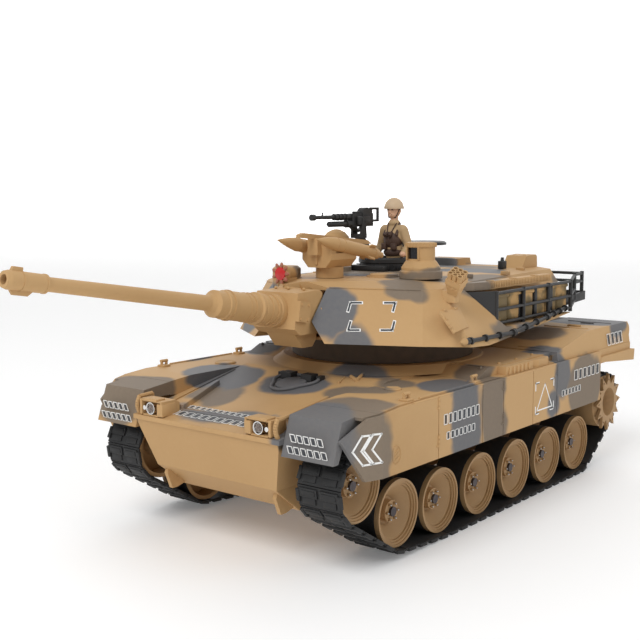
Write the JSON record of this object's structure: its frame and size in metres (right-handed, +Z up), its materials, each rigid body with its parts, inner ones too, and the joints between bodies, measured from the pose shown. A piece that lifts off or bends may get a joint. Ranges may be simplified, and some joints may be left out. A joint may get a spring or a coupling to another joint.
{
  "type": "model battle tank",
  "caption": "Radio-controlled model battle tank in sand camouflage: turning turret, lifting gun, missile launcher, machine gun with half figure, skirts over wheels and rubber tracks.",
  "frame": {"origin": "on the ground, below the middle of the overall length and width", "axes": "+Z up, the tank faces -Y, +X is its own left side"},
  "size_m": [0.2, 0.4758, 0.197],
  "materials": {
    "sand_plastic": "sand moulded plastic with soft-edged brown-grey and blue-grey camouflage",
    "wheel_plastic": "gold-sand moulded plastic",
    "track_rubber": "black soft rubber",
    "dark_plastic": "dark grey moulded plastic",
    "bag_plastic": "moulded bags, camouflage green and tan",
    "lamp_chrome": "bright plated lamp bowls",
    "red_lens": "clear red lens",
    "black_gloss": "black glossy window",
    "steel": "plain steel",
    "battery_wrap": "shrink wrap",
    "board_green": "coated circuit board",
    "gearbox_grey": "plain grey housing",
    "uniform_plastic": "painted figure, tan jacket and brown vest",
    "head_plastic": "painted skin and sand helmet"
  },
  "bodies": {
    "hull": {"lower_hull": "sand_plastic", "upper_hull": "sand_plastic", "skirt_left": "sand_plastic", "skirt_right": "sand_plastic", "mudguard_left": "sand_plastic", "mudguard_right": "sand_plastic", "headlight_brackets": "sand_plastic", "headlight_lamps": "lamp_chrome", "tow_lugs": "sand_plastic", "periscopes": "dark_plastic", "tool_boxes": "sand_plastic", "hull_screws": "steel", "wheel_axles": "steel", "battery_pack": "battery_wrap", "circuit_board": "board_green", "drive_gearboxes": "gearbox_grey", "drive_motors": "steel", "track_left": "track_rubber", "track_right": "track_rubber"},
    "turret": {"turret_shell": "sand_plastic", "turret_ring": "sand_plastic", "turret_motor": "steel", "stowage_bags": "bag_plastic", "basket_rails": "dark_plastic", "bustle_roof": "sand_plastic", "cleaning_rod": "dark_plastic", "smoke_launchers": "sand_plastic", "spotlight": "sand_plastic", "spotlight_lens": "red_lens", "roof_dome": "sand_plastic", "cupola_ring": "dark_plastic", "commander_body": "uniform_plastic", "commander_head": "head_plastic"},
    "gun": {"gun_mantlet": "sand_plastic", "gun_barrel": "sand_plastic"},
    "launcher": {"launcher_head": "sand_plastic", "missiles": "sand_plastic"},
    "sight": {"sight_head": "sand_plastic", "sight_window": "black_gloss"},
    "mg_swivel": {"mg_mount": "dark_plastic"},
    "mg": {"machine_gun": "dark_plastic"},
    "lid": {"hatch_lid": "dark_plastic"},
    "bay_door": {"battery_door": "sand_plastic"},
    "switch_knob": {"power_switch": "dark_plastic"},
    "road_wheel_left_1_body": {"road_wheel_left_1": "wheel_plastic"},
    "road_wheel_left_2_body": {"road_wheel_left_2": "wheel_plastic"},
    "road_wheel_left_3_body": {"road_wheel_left_3": "wheel_plastic"},
    "road_wheel_left_4_body": {"road_wheel_left_4": "wheel_plastic"},
    "road_wheel_left_5_body": {"road_wheel_left_5": "wheel_plastic"},
    "road_wheel_left_6_body": {"road_wheel_left_6": "wheel_plastic"},
    "road_wheel_right_1_body": {"road_wheel_right_1": "wheel_plastic"},
    "road_wheel_right_2_body": {"road_wheel_right_2": "wheel_plastic"},
    "road_wheel_right_3_body": {"road_wheel_right_3": "wheel_plastic"},
    "road_wheel_right_4_body": {"road_wheel_right_4": "wheel_plastic"},
    "road_wheel_right_5_body": {"road_wheel_right_5": "wheel_plastic"},
    "road_wheel_right_6_body": {"road_wheel_right_6": "wheel_plastic"},
    "idler_left_body": {"idler_left": "wheel_plastic"},
    "idler_right_body": {"idler_right": "wheel_plastic"},
    "sprocket_left_body": {"sprocket_left": "wheel_plastic"},
    "sprocket_right_body": {"sprocket_right": "wheel_plastic"}
  },
  "joints": [
    {"name": "turret_yaw", "type": "hinge", "parent": "hull", "child": "turret", "pos_m": [0, 0.052, 0.095], "axis": [0, 0, 1], "range_deg": [-160, 160]},
    {"name": "gun_elevation", "type": "hinge", "parent": "turret", "child": "gun", "pos_m": [0, -0.022, 0.125], "axis": [-1, 0, 0], "range_deg": [-9, 6]},
    {"name": "launcher_turn", "type": "hinge", "parent": "turret", "child": "launcher", "pos_m": [-0.009, 0.007, 0.146], "axis": [0, 0, 1], "range_deg": [-20, 120]},
    {"name": "sight_turn", "type": "hinge", "parent": "turret", "child": "sight", "pos_m": [0.0423, 0.034, 0.146], "axis": [0, 0, 1], "continuous": true},
    {"name": "mg_turn", "type": "hinge", "parent": "turret", "child": "mg_swivel", "pos_m": [-0.03, 0.077, 0.155], "axis": [0, 0, 1], "range_deg": [-4, 40]},
    {"name": "mg_elevation", "type": "hinge", "parent": "mg_swivel", "child": "mg", "pos_m": [-0.03, 0.066, 0.18], "axis": [-1, 0, 0], "range_deg": [-10, 6]},
    {"name": "hatch_hinge", "type": "hinge", "parent": "turret", "child": "lid", "pos_m": [-0.025, 0.117, 0.156], "axis": [1, 0, 0], "range_deg": [0, 70]},
    {"name": "battery_door_hinge", "type": "hinge", "parent": "hull", "child": "bay_door", "pos_m": [0, 0.0603, 0.027], "axis": [-1, 0, 0], "range_deg": [0, 75]},
    {"name": "power_switch_slide", "type": "slide", "parent": "hull", "child": "switch_knob", "axis": [0, 1, 0], "range_m": [0, 0.004]},
    {"name": "sprocket_left_turn", "type": "hinge", "parent": "hull", "child": "sprocket_left_body", "pos_m": [0.075, 0.21, 0.0464], "axis": [1, 0, 0], "continuous": true},
    {"name": "idler_left_turn", "type": "hinge", "parent": "hull", "child": "idler_left_body", "pos_m": [0.075, -0.0883, 0.0469], "axis": [1, 0, 0], "continuous": true},
    {"name": "road_wheel_left_1_turn", "type": "hinge", "parent": "hull", "child": "road_wheel_left_1_body", "pos_m": [0.075, -0.0513, 0.0244], "axis": [1, 0, 0], "continuous": true},
    {"name": "road_wheel_left_2_turn", "type": "hinge", "parent": "hull", "child": "road_wheel_left_2_body", "pos_m": [0.075, -0.0087, 0.0216], "axis": [1, 0, 0], "continuous": true},
    {"name": "road_wheel_left_3_turn", "type": "hinge", "parent": "hull", "child": "road_wheel_left_3_body", "pos_m": [0.075, 0.0365, 0.0216], "axis": [1, 0, 0], "continuous": true},
    {"name": "road_wheel_left_4_turn", "type": "hinge", "parent": "hull", "child": "road_wheel_left_4_body", "pos_m": [0.075, 0.0817, 0.0216], "axis": [1, 0, 0], "continuous": true},
    {"name": "road_wheel_left_5_turn", "type": "hinge", "parent": "hull", "child": "road_wheel_left_5_body", "pos_m": [0.075, 0.1269, 0.0216], "axis": [1, 0, 0], "continuous": true},
    {"name": "road_wheel_left_6_turn", "type": "hinge", "parent": "hull", "child": "road_wheel_left_6_body", "pos_m": [0.075, 0.1721, 0.0216], "axis": [1, 0, 0], "continuous": true},
    {"name": "sprocket_right_turn", "type": "hinge", "parent": "hull", "child": "sprocket_right_body", "pos_m": [-0.075, 0.21, 0.0464], "axis": [1, 0, 0], "continuous": true},
    {"name": "idler_right_turn", "type": "hinge", "parent": "hull", "child": "idler_right_body", "pos_m": [-0.075, -0.0883, 0.0469], "axis": [1, 0, 0], "continuous": true},
    {"name": "road_wheel_right_1_turn", "type": "hinge", "parent": "hull", "child": "road_wheel_right_1_body", "pos_m": [-0.075, -0.0513, 0.0244], "axis": [1, 0, 0], "continuous": true},
    {"name": "road_wheel_right_2_turn", "type": "hinge", "parent": "hull", "child": "road_wheel_right_2_body", "pos_m": [-0.075, -0.0087, 0.0216], "axis": [1, 0, 0], "continuous": true},
    {"name": "road_wheel_right_3_turn", "type": "hinge", "parent": "hull", "child": "road_wheel_right_3_body", "pos_m": [-0.075, 0.0365, 0.0216], "axis": [1, 0, 0], "continuous": true},
    {"name": "road_wheel_right_4_turn", "type": "hinge", "parent": "hull", "child": "road_wheel_right_4_body", "pos_m": [-0.075, 0.0817, 0.0216], "axis": [1, 0, 0], "continuous": true},
    {"name": "road_wheel_right_5_turn", "type": "hinge", "parent": "hull", "child": "road_wheel_right_5_body", "pos_m": [-0.075, 0.1269, 0.0216], "axis": [1, 0, 0], "continuous": true},
    {"name": "road_wheel_right_6_turn", "type": "hinge", "parent": "hull", "child": "road_wheel_right_6_body", "pos_m": [-0.075, 0.1721, 0.0216], "axis": [1, 0, 0], "continuous": true}
  ],
  "couplings": [
    {"joint": "idler_left_turn", "follows": "sprocket_left_turn", "ratio": 1},
    {"joint": "road_wheel_left_1_turn", "follows": "sprocket_left_turn", "ratio": 1},
    {"joint": "road_wheel_left_2_turn", "follows": "sprocket_left_turn", "ratio": 1},
    {"joint": "road_wheel_left_3_turn", "follows": "sprocket_left_turn", "ratio": 1},
    {"joint": "road_wheel_left_4_turn", "follows": "sprocket_left_turn", "ratio": 1},
    {"joint": "road_wheel_left_5_turn", "follows": "sprocket_left_turn", "ratio": 1},
    {"joint": "road_wheel_left_6_turn", "follows": "sprocket_left_turn", "ratio": 1},
    {"joint": "idler_right_turn", "follows": "sprocket_right_turn", "ratio": 1},
    {"joint": "road_wheel_right_1_turn", "follows": "sprocket_right_turn", "ratio": 1},
    {"joint": "road_wheel_right_2_turn", "follows": "sprocket_right_turn", "ratio": 1},
    {"joint": "road_wheel_right_3_turn", "follows": "sprocket_right_turn", "ratio": 1},
    {"joint": "road_wheel_right_4_turn", "follows": "sprocket_right_turn", "ratio": 1},
    {"joint": "road_wheel_right_5_turn", "follows": "sprocket_right_turn", "ratio": 1},
    {"joint": "road_wheel_right_6_turn", "follows": "sprocket_right_turn", "ratio": 1}
  ]
}
